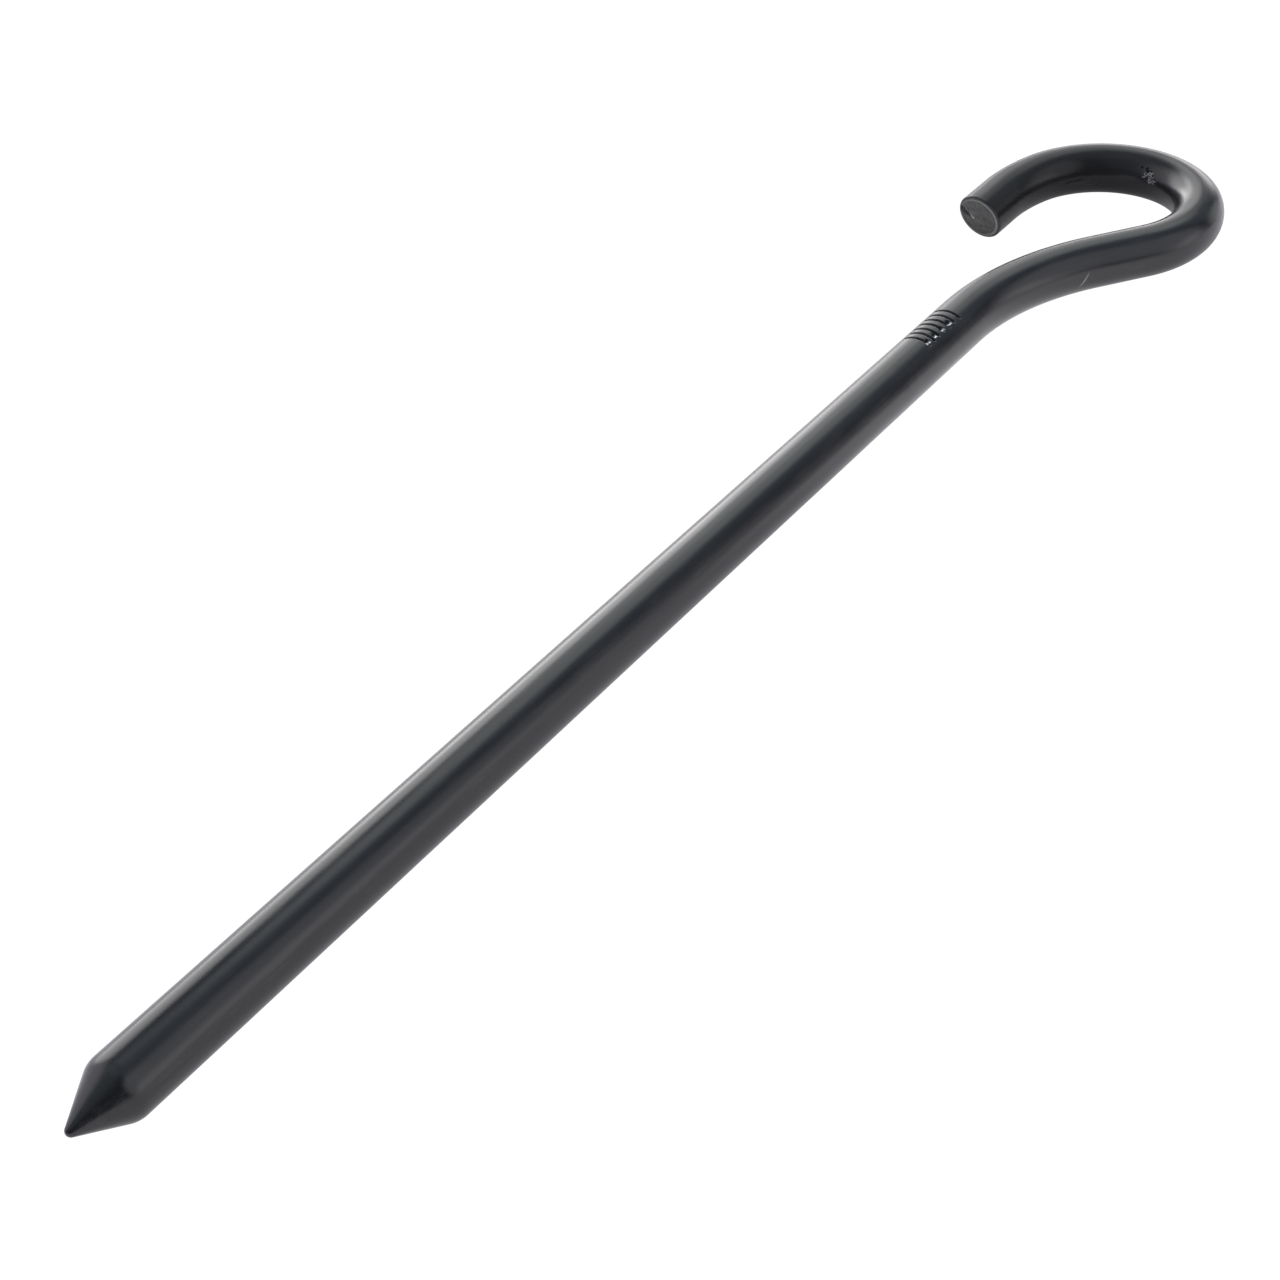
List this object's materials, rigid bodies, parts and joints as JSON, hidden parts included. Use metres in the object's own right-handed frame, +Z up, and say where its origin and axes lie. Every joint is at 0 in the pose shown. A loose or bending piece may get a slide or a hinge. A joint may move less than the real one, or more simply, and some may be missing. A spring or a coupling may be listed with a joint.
{
  "type": "tent stake",
  "caption": "Round steel tent stake with a cone point, a straight shank, an S-shaped neck and an open hook for a guy line or ring.",
  "frame": {"origin": "on the ground, under the middle of the bar's bounding box, with the stake lying flat on its side", "axes": "+X along the shank from the point to the hook, +Y towards the side the hook's tail is on, +Z up, square to the plane that the bar is bent in"},
  "size_m": [0.3, 0.049, 0.01],
  "materials": {
    "coated_steel": "satin black coating"
  },
  "bodies": {
    "root": {"stake_bar": "coated_steel"}
  },
  "joints": []
}
